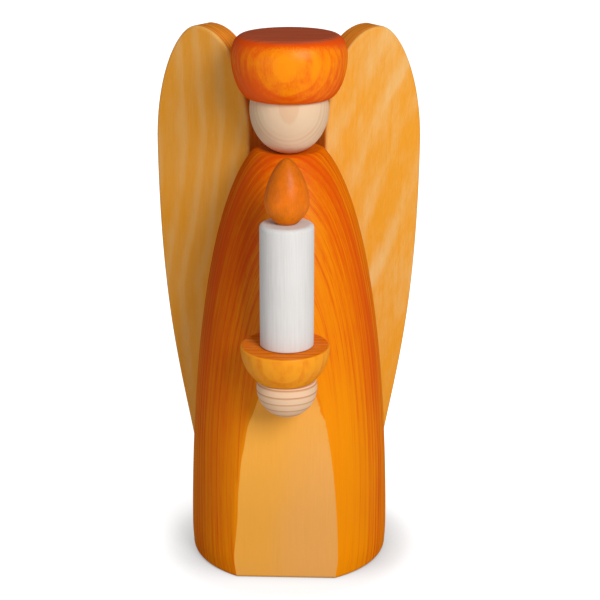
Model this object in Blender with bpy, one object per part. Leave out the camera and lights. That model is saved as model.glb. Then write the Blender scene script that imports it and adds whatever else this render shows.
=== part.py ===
"""Angel candle holder: a turned wooden figure that carries a wooden candle.

The figure stands on z = 0 with its body axis on the Z axis and looks along -Y.
Lengths are in metres.
"""

from math import asin, cos, pi, radians, sin, sqrt

import bmesh
import bpy
from mathutils import Vector

# Clearance between two pieces that touch, and spare depth past the end of a dowel
FIT_GAP = 0.0003
HOLE_SPARE = 0.0010

# Body, turned with a domed side and a flat top
BODY_HEIGHT = 0.1854
BODY_WIDEST_RADIUS = 0.0443
BODY_WIDEST_HEIGHT = 0.0100
BODY_FOOT_TUCK = 0.0004
BODY_FOOT_EDGE = 0.0018
BODY_TOP_RADIUS = 0.0146
BODY_SHOULDER_ANGLE = radians(50)
BODY_SHOULDER_PULL = 0.0430
BODY_FLANK_PULL = 0.0215

# Sawn face on the front of the body
FRONT_FACE_DEPTH = 0.0063
FRONT_FACE_FOOT_EDGE = 0.0016

# Head, a ball on a small seat at the bottom of a shallow dish in the top of the body
HEAD_RADIUS = 0.0170
HEAD_SEAT_DEPTH = 0.0005
NECK_DISH_RADIUS = 0.0136
NECK_DISH_DEPTH = 0.0023

# Hat, a turned puck with a dished underside that sits over the head
HAT_OVERLAP_ON_HEAD = 0.0097
HAT_RIM_WIDTH = 0.0012
HAT_HEIGHT = 0.0264
HAT_WIDEST_RADIUS = 0.0245
HAT_WIDEST_DROP = 0.0085
HAT_TOP_ROUNDING = 0.0058
HAT_FLANK_PULL = 0.0105
HAT_RIM_PULL = 0.0030

# Neck dowel, through the head from the body into the hat
NECK_DOWEL_RADIUS = 0.0030
NECK_DOWEL_IN_BODY = 0.0130
NECK_DOWEL_IN_HAT = 0.0060

# Wings, boards swept back, each let into a slot in the body
WING_THICKNESS = 0.0120
WING_SWEEP = radians(34)
WING_ROOT_UNDER_HAT = 0.0075
WING_ROOT_BEHIND_AXIS = 0.0100
WING_RISE_OVER_BODY = 0.0476
WING_WIDTH = 0.0517
WING_TOP_REACH = 0.0278
WING_ROOT_CURVE_DROP = 0.0031
WING_ROOT_CURVE_PULL = 0.0162
WING_TOP_INNER_PULL = 0.0215
WING_TOP_OUTER_PULL = 0.0106
WING_WIDEST_BELOW_TOP = 0.0546
WING_WIDEST_UPPER_PULL = 0.0310
WING_WIDEST_LOWER_PULL = 0.0750
WING_FOOT_HEIGHT = 0.0180
WING_FOOT_REACH = 0.0240
WING_HEEL_RISE = 0.0220
WING_HEEL_REACH = 0.0342
WING_HEEL_ANGLE = radians(77)
WING_HEEL_UPPER_PULL = 0.0346
WING_HEEL_LOWER_PULL = 0.0140
WING_FOOT_PULL = 0.0045
WING_EDGE = 0.0012

# Hand, a ball sawn flat at its back and its top
HAND_RADIUS = 0.01255
HAND_BELOW_FACE_TOP = 0.0125
HAND_BACK_CUT = 0.0004
HAND_TOP_CUT = 0.0090

# Hand dowel, from the body into the back of the hand
HAND_DOWEL_RADIUS = 0.0025
HAND_DOWEL_IN_BODY = 0.0120
DOWEL_SPACING = 0.0012

# Candle cup, a half ball with its bottom cut flat and its back hollowed to clear the body
CUP_RADIUS = 0.0184
CUP_FOOT_RADIUS = 0.0120
CUP_RIM_EDGE = 0.0008

# Candle, a turned and painted stick
CANDLE_RADIUS = 0.0110
CANDLE_HEIGHT = 0.0514
CANDLE_TOP_EDGE = 0.0018

# Candle dowel, from the hand through the cup into the candle
CANDLE_DOWEL_RADIUS = 0.0030
CANDLE_DOWEL_IN_HAND = 0.0070
CANDLE_DOWEL_IN_CANDLE = 0.0120

# Flame, a turned egg with a peg of its own
FLAME_RADIUS = 0.0091
FLAME_HEIGHT = 0.0264
FLAME_WIDEST_RISE = 0.0086
FLAME_FOOT_RADIUS = 0.0042
FLAME_FOOT_ANGLE = radians(38)
FLAME_TIP_PULL = 0.0036
FLAME_SHOULDER_PULL = 0.0070
FLAME_BELLY_PULL = 0.0040
FLAME_FOOT_PULL = 0.0024
FLAME_PEG_RADIUS = 0.0022
FLAME_PEG_LENGTH = 0.0070

# Number of facets round each turned piece and along each curve
BODY_FACETS = 64
HAT_FACETS = 56
HEAD_FACETS = 40
HAND_FACETS = 36
CUP_FACETS = 44
CANDLE_FACETS = 40
FLAME_FACETS = 32
DOWEL_FACETS = 20
BODY_SIDE_STEPS = 16
BALL_STEPS = 14
CUP_STEPS = 8
CURVE_STEPS = 8
EDGE_STEPS = 3
WING_STEPS = 10
WING_LONG_STEPS = 14


def bezier(start, start_pull, end_pull, end, steps):
    """Points on a cubic curve, from start to end."""
    corners = (start, start_pull, end_pull, end)
    points = []
    for step in range(steps + 1):
        t = step / steps
        s = 1.0 - t
        weights = (s ** 3, 3 * s * s * t, 3 * s * t * t, t ** 3)
        points.append(tuple(sum(w * c[axis] for w, c in zip(weights, corners)) for axis in (0, 1)))
    return points


def arc(centre, radius, start, end, steps):
    """Points on an arc between two angles, counted from the outward direction."""
    angles = [start + (end - start) * step / steps for step in range(steps + 1)]
    return [(centre[0] + radius * cos(angle), centre[1] + radius * sin(angle)) for angle in angles]


def chain(*runs):
    """Join runs of points and leave out a point that repeats the one before."""
    outline = []
    for run in runs:
        for point in run:
            if not outline or (Vector(point) - Vector(outline[-1])).length > 1e-6:
                outline.append(point)
    return outline


def body_side():
    """The body's side as (radius, height) points, from the top to the widest place."""
    top = (BODY_TOP_RADIUS, BODY_HEIGHT)
    widest = (BODY_WIDEST_RADIUS, BODY_WIDEST_HEIGHT)
    shoulder = (
        BODY_TOP_RADIUS + BODY_SHOULDER_PULL * cos(BODY_SHOULDER_ANGLE),
        BODY_HEIGHT - BODY_SHOULDER_PULL * sin(BODY_SHOULDER_ANGLE),
    )
    flank = (BODY_WIDEST_RADIUS, BODY_WIDEST_HEIGHT + BODY_FLANK_PULL)
    return bezier(top, shoulder, flank, widest, BODY_SIDE_STEPS)


def side_height(radius):
    """The height at which the body's side has the given radius."""
    side = body_side()
    for (upper_radius, upper), (lower_radius, lower) in zip(side, side[1:]):
        if upper_radius <= radius <= lower_radius:
            share = (radius - upper_radius) / (lower_radius - upper_radius)
            return upper + share * (lower - upper)
    return side[-1][1]


# Heights and places that follow from the sizes above
FRONT_FACE_Y = FRONT_FACE_DEPTH - BODY_WIDEST_RADIUS
FRONT_FACE_TOP = side_height(-FRONT_FACE_Y)
HEAD_FOOT = BODY_HEIGHT - NECK_DISH_DEPTH - HEAD_SEAT_DEPTH + FIT_GAP
HEAD_CENTRE = HEAD_FOOT + HEAD_RADIUS
HEAD_TOP = HEAD_CENTRE + HEAD_RADIUS
HAT_FOOT = HEAD_TOP - HAT_OVERLAP_ON_HEAD
HAND_HEIGHT = FRONT_FACE_TOP - HAND_BELOW_FACE_TOP
HAND_BACK = FRONT_FACE_Y - FIT_GAP
HAND_Y = HAND_BACK - (HAND_RADIUS - HAND_BACK_CUT)
HAND_TOP = HAND_HEIGHT + HAND_RADIUS - HAND_TOP_CUT
CUP_FOOT = HAND_TOP + FIT_GAP
CUP_MIDDLE = CUP_FOOT + sqrt(CUP_RADIUS ** 2 - CUP_FOOT_RADIUS ** 2)
CUP_TOP = CUP_MIDDLE + CUP_RIM_EDGE
CANDLE_FOOT = CUP_TOP + FIT_GAP
CANDLE_TOP = CANDLE_FOOT + CANDLE_HEIGHT
FLAME_FOOT = CANDLE_TOP + FIT_GAP
WING_ROOT_X = HAT_WIDEST_RADIUS - WING_ROOT_UNDER_HAT
WING_TOP = BODY_HEIGHT + WING_RISE_OVER_BODY


def clear_scene():
    """Remove every object that the file starts with."""
    for item in list(bpy.data.objects):
        bpy.data.objects.remove(item, do_unlink=True)


def finish(name, colour, roughness):
    """Make a wood or paint finish."""
    material = bpy.data.materials.new(name)
    material.use_nodes = True
    shader = material.node_tree.nodes["Principled BSDF"]
    shader.inputs["Base Color"].default_value = (*colour, 1.0)
    shader.inputs["Roughness"].default_value = roughness
    shader.inputs["Metallic"].default_value = 0.0
    material.diffuse_color = (*colour, 1.0)
    return material


def new_object(name, bm, material):
    """Put a finished bmesh into the scene as one named object."""
    mesh = bpy.data.meshes.new(name)
    bm.to_mesh(mesh)
    bm.free()
    item = bpy.data.objects.new(name, mesh)
    bpy.context.scene.collection.objects.link(item)
    if material is not None:
        mesh.materials.append(material)
        mesh.shade_smooth()
        mesh.set_sharp_from_angle(angle=radians(35))
    return item


def turned(name, outline, facets, material=None):
    """Turn an outline of (radius, height) points, top to bottom, into a solid."""
    bm = bmesh.new()
    verts = [bm.verts.new((radius, 0.0, height)) for radius, height in outline]
    edges = [bm.edges.new(pair) for pair in zip(verts, verts[1:])]
    bmesh.ops.spin(
        bm,
        geom=verts + edges,
        cent=(0.0, 0.0, 0.0),
        axis=(0.0, 0.0, 1.0),
        angle=2.0 * pi,
        steps=facets,
        use_merge=True,
    )
    bmesh.ops.remove_doubles(bm, verts=bm.verts, dist=1e-6)
    bmesh.ops.recalc_face_normals(bm, faces=bm.faces)
    return new_object(name, bm, material)


def ball_outline(radius, middle, low, high):
    """The outline of a ball on the axis, cut flat at two heights if they reach it."""
    start = asin(min(1.0, (high - middle) / radius))
    end = asin(max(-1.0, (low - middle) / radius))
    side = arc((0.0, middle), radius, start, end, BALL_STEPS)
    return chain([(0.0, side[0][1])], side, [(0.0, side[-1][1])])


def rod(name, radius, low, high, material=None):
    """Make a round rod along Z between two heights."""
    outline = [(0.0, high), (radius, high), (radius, low), (0.0, low)]
    return turned(name, outline, DOWEL_FACETS, material)


def prism(name, outline, width, edge=0.0, material=None):
    """Extrude a closed outline of (x, z) points along Y, and round its two rims."""
    bm = bmesh.new()
    face = bm.faces.new([bm.verts.new((x, 0.0, z)) for x, z in outline])
    grown = bmesh.ops.extrude_face_region(bm, geom=[face])
    moved = [item for item in grown["geom"] if isinstance(item, bmesh.types.BMVert)]
    bmesh.ops.translate(bm, verts=moved, vec=(0.0, width, 0.0))
    bmesh.ops.recalc_face_normals(bm, faces=bm.faces)
    if edge > 0.0:
        rims = [item for item in bm.edges if abs(item.verts[0].co.y - item.verts[1].co.y) < edge / 2]
        bmesh.ops.bevel(
            bm,
            geom=rims,
            offset=edge,
            offset_type="OFFSET",
            segments=2,
            profile=0.5,
            affect="EDGES",
            material=-1,
        )
    return new_object(name, bm, material)


def cut(item, cutter):
    """Cut a shape out of an object, and keep the cutter as a guide."""
    cutter.hide_render = True
    cutter.display_type = "WIRE"
    modifier = item.modifiers.new("cut_" + cutter.name, "BOOLEAN")
    modifier.operation = "DIFFERENCE"
    modifier.solver = "EXACT"
    modifier.object = cutter


def lay_along_y(item, y, z):
    """Lay a rod that was made along Z so that it runs along Y at a place."""
    item.rotation_euler = (-pi / 2, 0.0, 0.0)
    item.location = (0.0, y, z)


def neck_rod(name, clearance, spare, material=None):
    """The neck dowel, or the drill that makes its hole with some clearance."""
    low = HEAD_FOOT - NECK_DOWEL_IN_BODY - spare
    high = HEAD_TOP + NECK_DOWEL_IN_HAT + spare
    return rod(name, NECK_DOWEL_RADIUS + clearance, low, high, material)


def hand_rod(name, clearance, spare, material=None):
    """The hand dowel, or the drill that makes its hole with some clearance."""
    back = FRONT_FACE_Y + HAND_DOWEL_IN_BODY + spare
    front = HAND_Y + CANDLE_DOWEL_RADIUS + FIT_GAP + DOWEL_SPACING - clearance
    item = rod(name, HAND_DOWEL_RADIUS + clearance, 0.0, back - front, material)
    lay_along_y(item, front, HAND_HEIGHT)
    return item


def candle_rod(name, clearance, spare, material=None):
    """The candle dowel, or the drill that makes its hole with some clearance."""
    low = HAND_TOP - CANDLE_DOWEL_IN_HAND - spare
    high = CANDLE_FOOT + CANDLE_DOWEL_IN_CANDLE + spare
    item = rod(name, CANDLE_DOWEL_RADIUS + clearance, low, high, material)
    item.location.y = HAND_Y
    return item


def place_wing(item, side):
    """Stand a wing or its slot at its root, swept back on the given side."""
    item.location = (side * WING_ROOT_X, WING_ROOT_BEHIND_AXIS, 0.0)
    item.rotation_euler = (0.0, 0.0, WING_SWEEP if side > 0 else pi - WING_SWEEP)


def body_blank(name, clearance, material=None):
    """The turned body with its sawn front face, or the same shape grown by a clearance."""
    foot_radius = BODY_WIDEST_RADIUS - BODY_FOOT_TUCK
    foot_centre = (foot_radius - BODY_FOOT_EDGE, BODY_FOOT_EDGE)
    foot = arc(foot_centre, BODY_FOOT_EDGE, 0.0, -pi / 2, EDGE_STEPS)
    side = [(radius + clearance, height) for radius, height in chain(body_side(), foot)]
    top = side[0][1]
    blank = turned(name, chain([(0.0, top)], side, [(0.0, 0.0)]), BODY_FACETS, material)

    outside = 2.0 * BODY_WIDEST_RADIUS
    face_y = FRONT_FACE_Y - clearance
    edge_y = face_y + FRONT_FACE_FOOT_EDGE
    foot_edge = arc((edge_y, FRONT_FACE_FOOT_EDGE), FRONT_FACE_FOOT_EDGE, pi, 1.5 * pi, EDGE_STEPS)
    corners = [(edge_y, -outside), (-outside, -outside), (-outside, BODY_HEIGHT)]
    face = chain(corners, [(face_y, BODY_HEIGHT)], foot_edge)
    saw = prism(name + "_face_cutter", face, 2.0 * outside)
    saw.rotation_euler = (0.0, 0.0, pi / 2)
    saw.location = (outside, 0.0, 0.0)
    cut(blank, saw)
    return blank


def make_body(material):
    """Turn the body, saw its front face, and cut its dish, holes and slots."""
    body = body_blank("body", 0.0, material)
    outside = 2.0 * BODY_WIDEST_RADIUS
    sphere = (NECK_DISH_RADIUS ** 2 + NECK_DISH_DEPTH ** 2) / (2.0 * NECK_DISH_DEPTH)
    middle = BODY_HEIGHT - NECK_DISH_DEPTH + sphere
    dish = ball_outline(sphere, middle, 0.0, BODY_HEIGHT + NECK_DISH_DEPTH)
    cut(body, turned("neck_dish_cutter", dish, BODY_FACETS))
    seat = ball_outline(HEAD_RADIUS + FIT_GAP, HEAD_CENTRE, 0.0, HEAD_CENTRE + outside)
    cut(body, turned("head_seat_cutter", seat, HEAD_FACETS))
    cut(body, neck_rod("neck_hole_cutter", FIT_GAP, HOLE_SPARE))
    cut(body, hand_rod("hand_hole_cutter", FIT_GAP, HOLE_SPARE))
    for name, side in (("left_slot_cutter", -1), ("right_slot_cutter", 1)):
        low = WING_FOOT_HEIGHT - FIT_GAP
        high = WING_TOP
        slot = [(-FIT_GAP, low), (outside, low), (outside, high), (-FIT_GAP, high)]
        router = prism(name, slot, side * (WING_THICKNESS + 2.0 * FIT_GAP))
        place_wing(router, side)
        router.location.x += side * FIT_GAP * sin(WING_SWEEP)
        router.location.y -= FIT_GAP * cos(WING_SWEEP)
        cut(body, router)
    return body


def make_head(material):
    """Turn the plain ball of the head and bore it through."""
    outline = ball_outline(HEAD_RADIUS, HEAD_CENTRE, 0.0, HEAD_TOP)
    head = turned("head", outline, HEAD_FACETS, material)
    cut(head, bpy.data.objects["neck_hole_cutter"])
    return head


def make_hat(material):
    """Turn the hat and dish its underside over the head."""
    top = HAT_FOOT + HAT_HEIGHT
    widest = top - HAT_WIDEST_DROP
    dish_radius = HEAD_RADIUS + FIT_GAP
    rim = sqrt(dish_radius ** 2 - (HAT_FOOT - HEAD_CENTRE) ** 2) + HAT_RIM_WIDTH
    crown = bezier(
        (HAT_WIDEST_RADIUS - HAT_TOP_ROUNDING, top),
        (HAT_WIDEST_RADIUS - HAT_TOP_ROUNDING / 4, top),
        (HAT_WIDEST_RADIUS, widest + HAT_TOP_ROUNDING / 2),
        (HAT_WIDEST_RADIUS, widest),
        CURVE_STEPS,
    )
    flank = bezier(
        (HAT_WIDEST_RADIUS, widest),
        (HAT_WIDEST_RADIUS, widest - HAT_FLANK_PULL),
        (rim + HAT_RIM_PULL, HAT_FOOT),
        (rim, HAT_FOOT),
        CURVE_STEPS,
    )
    outline = chain([(0.0, top)], crown, flank, [(0.0, HAT_FOOT)])
    hat = turned("hat", outline, HAT_FACETS, material)
    cut(hat, bpy.data.objects["head_seat_cutter"])
    cut(hat, bpy.data.objects["neck_hole_cutter"])
    return hat


def wing_outline():
    """The outline of a wing board as (reach, height) points from its root edge."""
    heel = (WING_HEEL_REACH, WING_FOOT_HEIGHT + WING_HEEL_RISE)
    widest = (WING_WIDTH, WING_TOP - WING_WIDEST_BELOW_TOP)
    top = (WING_TOP_REACH, WING_TOP)
    root = (0.0, BODY_HEIGHT - WING_ROOT_CURVE_DROP)
    foot = (WING_FOOT_REACH, WING_FOOT_HEIGHT)
    along_heel = Vector((cos(WING_HEEL_ANGLE), sin(WING_HEEL_ANGLE)))
    inner = bezier(
        root,
        (root[0], root[1] + WING_ROOT_CURVE_PULL),
        (top[0] - WING_TOP_INNER_PULL, top[1]),
        top,
        WING_STEPS,
    )
    outer = bezier(
        top,
        (top[0] + WING_TOP_OUTER_PULL, top[1]),
        (widest[0], widest[1] + WING_WIDEST_UPPER_PULL),
        widest,
        WING_STEPS,
    )
    trailing = bezier(
        widest,
        (widest[0], widest[1] - WING_WIDEST_LOWER_PULL),
        tuple(Vector(heel) + WING_HEEL_UPPER_PULL * along_heel),
        heel,
        WING_LONG_STEPS,
    )
    under = bezier(
        heel,
        tuple(Vector(heel) - WING_HEEL_LOWER_PULL * along_heel),
        (foot[0] + WING_FOOT_PULL, foot[1]),
        foot,
        WING_STEPS,
    )
    return chain(inner, outer, trailing, under, [(0.0, WING_FOOT_HEIGHT)])


def make_wing(name, side, material):
    """Saw one wing from a board and stand it in its slot."""
    wing = prism(name, wing_outline(), side * WING_THICKNESS, WING_EDGE, material)
    place_wing(wing, side)
    return wing


def make_hand(material):
    """Turn the ball of the hand and saw its two flats."""
    outline = ball_outline(HAND_RADIUS, HAND_HEIGHT, HAND_HEIGHT - HAND_RADIUS, HAND_TOP)
    hand = turned("hand", outline, HAND_FACETS, material)
    hand.location.y = HAND_Y
    reach = 2.0 * HAND_RADIUS
    low = HAND_HEIGHT - reach
    high = HAND_HEIGHT + reach
    back = [(-reach, low), (reach, low), (reach, high), (-reach, high)]
    saw = prism("hand_back_cutter", back, reach)
    saw.location.y = HAND_BACK
    cut(hand, saw)
    cut(hand, bpy.data.objects["hand_hole_cutter"])
    cut(hand, candle_rod("candle_hole_cutter", FIT_GAP, HOLE_SPARE))
    return hand


def make_cup(material):
    """Turn the half ball of the candle cup, hollow its back and bore it through."""
    rim_centre = (CUP_RADIUS - CUP_RIM_EDGE, CUP_MIDDLE)
    rim = arc(rim_centre, CUP_RIM_EDGE, pi / 2, 0.0, EDGE_STEPS)
    foot_angle = -asin((CUP_MIDDLE - CUP_FOOT) / CUP_RADIUS)
    bowl = arc((0.0, CUP_MIDDLE), CUP_RADIUS, 0.0, foot_angle, CUP_STEPS)
    outline = chain([(0.0, CUP_TOP)], rim, bowl, [(0.0, CUP_FOOT)])
    cup = turned("candle_cup", outline, CUP_FACETS, material)
    cup.location.y = HAND_Y
    cut(cup, body_blank("cup_back_cutter", FIT_GAP))
    cut(cup, bpy.data.objects["candle_hole_cutter"])
    return cup


def flame_peg(name, clearance, spare):
    """The peg under the flame, or the drill that makes its hole."""
    low = FLAME_FOOT - FLAME_PEG_LENGTH - spare
    return rod(name, FLAME_PEG_RADIUS + clearance, low, FLAME_FOOT)


def make_candle(material):
    """Turn the candle and bore it for its dowel and for the flame's peg."""
    edge_centre = (CANDLE_RADIUS - CANDLE_TOP_EDGE, CANDLE_TOP - CANDLE_TOP_EDGE)
    edge = arc(edge_centre, CANDLE_TOP_EDGE, pi / 2, 0.0, EDGE_STEPS)
    outline = chain([(0.0, CANDLE_TOP)], edge, [(CANDLE_RADIUS, CANDLE_FOOT), (0.0, CANDLE_FOOT)])
    candle = turned("candle", outline, CANDLE_FACETS, material)
    candle.location.y = HAND_Y
    cut(candle, bpy.data.objects["candle_hole_cutter"])
    drill = flame_peg("flame_hole_cutter", FIT_GAP, HOLE_SPARE)
    drill.location.y = HAND_Y
    cut(candle, drill)
    return candle


def make_flame(material):
    """Turn the flame, an egg with its peg below."""
    tip = (0.0, FLAME_FOOT + FLAME_HEIGHT)
    widest = (FLAME_RADIUS, FLAME_FOOT + FLAME_WIDEST_RISE)
    foot = (FLAME_FOOT_RADIUS, FLAME_FOOT)
    upper = bezier(
        tip,
        (FLAME_TIP_PULL, tip[1]),
        (widest[0], widest[1] + FLAME_SHOULDER_PULL),
        widest,
        CURVE_STEPS,
    )
    lower = bezier(
        widest,
        (widest[0], widest[1] - FLAME_BELLY_PULL),
        (
            foot[0] + FLAME_FOOT_PULL * cos(FLAME_FOOT_ANGLE),
            foot[1] + FLAME_FOOT_PULL * sin(FLAME_FOOT_ANGLE),
        ),
        foot,
        CURVE_STEPS,
    )
    peg_end = FLAME_FOOT - FLAME_PEG_LENGTH
    peg = [(FLAME_PEG_RADIUS, FLAME_FOOT), (FLAME_PEG_RADIUS, peg_end), (0.0, peg_end)]
    flame = turned("flame", chain(upper, lower, peg), FLAME_FACETS, material)
    flame.location.y = HAND_Y
    return flame


def main():
    """Make every piece of the figure."""
    clear_scene()
    orange_glaze = finish("orange_glaze", (0.80, 0.26, 0.03), 0.35)
    hat_glaze = finish("hat_glaze", (0.72, 0.16, 0.02), 0.35)
    honey_glaze = finish("honey_glaze", (0.84, 0.42, 0.10), 0.45)
    flame_glaze = finish("flame_glaze", (0.66, 0.14, 0.01), 0.32)
    pale_wood = finish("pale_wood", (0.74, 0.56, 0.39), 0.55)
    white_paint = finish("white_paint", (0.78, 0.77, 0.75), 0.40)

    make_body(orange_glaze)
    make_head(pale_wood)
    make_hat(hat_glaze)
    neck_rod("neck_dowel", 0.0, 0.0, pale_wood)
    make_wing("left_wing", -1, honey_glaze)
    make_wing("right_wing", 1, honey_glaze)
    make_hand(pale_wood)
    hand_rod("hand_dowel", 0.0, 0.0, pale_wood)
    make_cup(honey_glaze)
    make_candle(white_paint)
    candle_rod("candle_dowel", 0.0, 0.0, pale_wood)
    make_flame(flame_glaze)


main()
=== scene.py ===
"""Angel candle holder: finished pieces, glazes, floor and light around the fixed frame.

Lengths are in metres. The figure stands on z = 0 and looks along -Y.
"""

from math import asin, cos, pi, radians, sin, sqrt, tau

import bmesh
import bpy
from bpy.props import FloatProperty, FloatVectorProperty, PointerProperty
from bpy.types import Operator, Panel, PropertyGroup
from mathutils import Matrix, Vector
from mathutils.geometry import interpolate_bezier


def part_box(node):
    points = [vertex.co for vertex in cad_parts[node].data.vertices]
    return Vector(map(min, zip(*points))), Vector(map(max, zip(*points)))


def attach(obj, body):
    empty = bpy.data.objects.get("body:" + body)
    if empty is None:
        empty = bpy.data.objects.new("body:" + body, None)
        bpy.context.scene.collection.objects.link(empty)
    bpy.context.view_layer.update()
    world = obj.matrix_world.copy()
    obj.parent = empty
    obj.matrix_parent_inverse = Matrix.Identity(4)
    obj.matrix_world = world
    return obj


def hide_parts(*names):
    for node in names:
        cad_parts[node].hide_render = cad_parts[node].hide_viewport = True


bl_info = {
    "name": "Angel candle holder",
    "version": (1, 0, 0),
    "blender": (4, 5, 0),
    "location": "3D View > Sidebar > Angel",
    "description": "Builds a turned wooden angel that carries a wooden candle",
    "category": "Object",
}

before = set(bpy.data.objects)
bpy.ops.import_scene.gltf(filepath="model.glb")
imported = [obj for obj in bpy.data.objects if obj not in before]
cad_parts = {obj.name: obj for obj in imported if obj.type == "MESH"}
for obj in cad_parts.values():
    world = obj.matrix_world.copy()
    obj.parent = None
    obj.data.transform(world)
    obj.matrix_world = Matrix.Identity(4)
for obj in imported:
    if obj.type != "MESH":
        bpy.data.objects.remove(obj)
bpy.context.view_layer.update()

# Places taken from the fixed frame
_, BODY_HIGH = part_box("body")
HEAD_LOW, HEAD_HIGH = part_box("head")
HAT_LOW, HAT_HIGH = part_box("hat")
WING_LOW, WING_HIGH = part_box("right_wing")
HAND_LOW, HAND_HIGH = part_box("hand")
CUP_LOW, CUP_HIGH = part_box("candle_cup")
CANDLE_LOW, CANDLE_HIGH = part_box("candle")
_, FLAME_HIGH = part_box("flame")

CANDLE_Y = (CANDLE_LOW.y + CANDLE_HIGH.y) / 2
HEAD_CENTRE = (HEAD_LOW.z + HEAD_HIGH.z) / 2

# Facets round a turned piece and points along a curve
TURN_STEPS = 144
SMALL_TURN_STEPS = 96
CURVE_STEPS = 24
EDGE_STEPS = 6

# Millimetres in a metre
MM = 1000.0

# Shapes that the settings don't reach
FIT_GAP = 0.0003
HEAD_FLAT = 0.0003
RIM_DROP = 0.0016
SIDE_PULL = 0.0414
BELLY_PULL = 0.0215
FOOT_ROUND = 0.0018
SAW_ROUND = 0.0016
SAW_STEPS = 6
HAT_WIDEST_DROP = 0.0085
HAT_CROWN = 0.0058
WING_CREST = 0.0278
WING_REACH = 0.0517
WING_REACH_DROP = 0.0546
WING_HEEL = (0.0342, 0.0220)
WING_HEEL_ANGLE = radians(77)
WING_INSET = 0.0076
WING_BEHIND = 0.0100
REAR_RIM_SHARE = 0.3
FACE_INSET = 0.0004

# How far behind the figure the heart of each piece's tree lies, in millimetres
ROBE_HEART, HAT_HEART, CUP_HEART, PLAIN_HEART = 250.0, 70.0, 120.0, 90.0

# Lean of the body's grain
ROBE_TURN = (radians(2.5), 0.0, 0.0)

# Millimetres between two years of growth, in the body and the hat, and in the cup
RED_YEAR = 2.3
CUP_YEAR = 3.3

# Rings of the bare wood: the spacing, then where the late wood starts, is full and fades
SOFT_RINGS = (1.9, 0.20, 0.72, 0.76)
SHARP_RINGS = (3.2, 0.60, 0.88, 0.94)

# Depth of the glaze, and strength of its lines, from the body's side to its front
BAND_REACH = 44.0
ROBE_BANDS = (0.62, 0.60, 0.60, 0.66, 0.95, 0.76, 0.48, 0.24, 0.04)
ROBE_LINES = (0.14, 0.22, 0.36, 0.46, 0.42, 0.36, 0.24, 0.16, 0.10)
HAT_REACH = 25.0
HAT_BANDS = (0.66, 0.60, 0.50, 0.36, 0.0)

# Half the width of the sawn face in millimetres, at even steps between two heights
SAWN_HALVES = (22.4, 22.3, 21.6, 19.7, 16.2, 9.5, 0.0)
SAWN_SCALE = 30.0
SAWN_LOW, SAWN_HIGH = 0.012, 0.108

# Refraction of the thin coat of wax, which sets how strongly it shines
WAX_IOR = 2.2

# Floor: reach of the contact shade, level close by and how much the shade takes off it,
# where the level starts to rise and is full, and the two greys of the paper
SHADE_REACH, NEAR_LEVEL, SHADE_DEPTH = 0.016, 0.82, 0.66
NEAR_FLOOR, WHITE_FLOOR, FAR_FLOOR = 0.050, 0.076, 0.110
NEAR_GREY, FAR_GREY = (0.24, 0.24, 0.24), (0.78, 0.78, 0.78)
FLOOR_SIZE = 4.0

# Soft boxes: width, height, turn to the side, rise and distance
KEY_BOX = (0.42, 0.54, radians(28), radians(30), 1.2)
FILL_BOX = (0.9, 0.44, radians(-38), radians(5), 1.4)
LAMP_AIM = 0.13

# Camera
VIEW_TURN = radians(1.1)
VIEW_TILT = radians(90 - 18.72)
VIEW_AWAY, VIEW_HEIGHT = 0.65, 0.337
VIEW_LENS, VIEW_SENSOR, VIEW_SHIFT = 93.6, 36.0, 0.018


# Sizes and colours


def length(name, description, default):
    """A length that the user can change."""
    return FloatProperty(
        name=name, description=description, default=default, unit="LENGTH", precision=5
    )


def angle(name, description, default):
    """An angle that the user can change."""
    return FloatProperty(name=name, description=description, default=default, unit="ROTATION")


def amount(name, description, default):
    """A plain share or strength that the user can change."""
    return FloatProperty(name=name, description=description, default=default, min=0.0)


def colour(name, description, default):
    """A colour that the user can change."""
    return FloatVectorProperty(
        name=name,
        description=description,
        default=default,
        subtype="COLOR",
        size=3,
        min=0.0,
        max=1.0,
    )


class FigureSizes(PropertyGroup):
    """Sizes of the turned body, head, hat and wings."""

    body_radius: length("Body radius", "Widest radius of the body", BODY_HIGH.x)
    body_widest: length("Widest height", "Height at which the body is widest", 0.010)
    body_top: length("Body top radius", "Radius at the top of the body's side", 0.0146)
    shoulder_angle: angle("Shoulder slope", "Slope at which the side leaves the top", radians(50))
    face_depth: length("Sawn face depth", "How deep the front face is sawn in", 0.0063)
    face_turn: angle("Sawn face turn", "How far the sawn face is turned to one side", radians(1.1))
    head_radius: length("Head radius", "Widest radius of the head", HEAD_HIGH.x - 0.00015)
    head_stretch: amount("Head stretch", "Height of the head over its width", 1.135)
    hat_radius: length("Hat radius", "Widest radius of the hat", HAT_HIGH.x)
    wing_thickness: length("Wing thickness", "Thickness of the wing boards", 0.012)
    wing_sweep: angle("Wing sweep", "How far the wings are swept back", radians(34))
    wing_shift: length("Wing shift", "How far both wings sit off the middle", -0.0010)
    wing_edge: length("Wing edge", "Rounding along the wings' rims", 0.0014)


class CandleSizes(PropertyGroup):
    """Sizes of the hand, the cup, the candle and its flame."""

    hand_radius: length("Hand radius", "Radius of the hand's ball", HAND_HIGH.x)
    cup_radius: length("Cup radius", "Radius of the half ball of the cup", CUP_HIGH.x)
    cup_foot: length("Cup foot radius", "Radius of the flat under the cup", 0.0120)
    cup_shift: length("Cup shift", "How far the cup sits off the middle", -0.0007)
    candle_radius: length("Candle radius", "Radius of the candle", CANDLE_HIGH.x)
    candle_edge: length("Candle edge", "Rounding round the candle's top", 0.0018)
    flame_radius: length("Flame radius", "Widest radius of the flame", FLAME_HIGH.x)


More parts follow.
